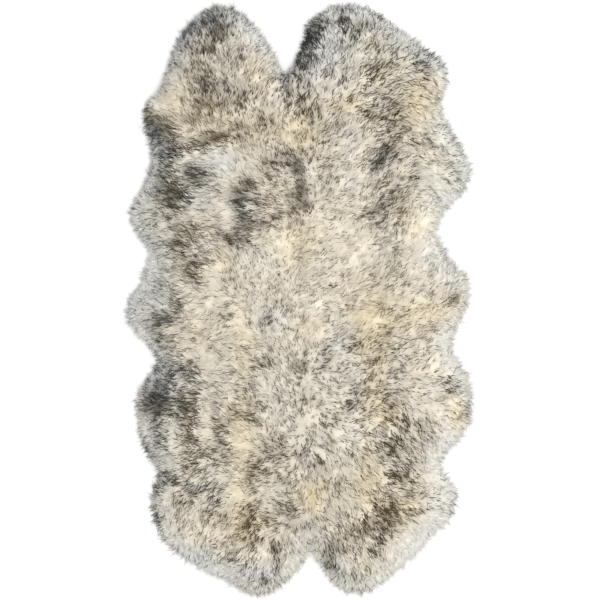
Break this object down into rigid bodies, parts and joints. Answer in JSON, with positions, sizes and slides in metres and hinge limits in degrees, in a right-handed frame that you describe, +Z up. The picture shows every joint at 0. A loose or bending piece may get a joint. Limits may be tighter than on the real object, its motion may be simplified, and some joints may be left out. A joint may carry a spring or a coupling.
{
  "type": "sheepskin rug",
  "caption": "Flat rug sewn from whole sheepskins, with a wavy outline, a deep shaggy pile in cream and grey with dark tips, and locks of wool lying over its edge.",
  "frame": {"origin": "middle of the rug's outline, on the floor that it lies on", "axes": "+X across the rug, +Y along it towards the end with the shorter pelts, +Z up out of the pile"},
  "size_m": [1.0902, 1.8556, 0.0657],
  "materials": {
    "wool": "matt, long wool pile",
    "skin": "napped suede, the flesh side of the pelts"
  },
  "bodies": {
    "root": {"pelt_upper_left": "wool", "pelt_upper_right": "wool", "pelt_lower_left": "wool", "pelt_lower_right": "wool"}
  },
  "joints": []
}
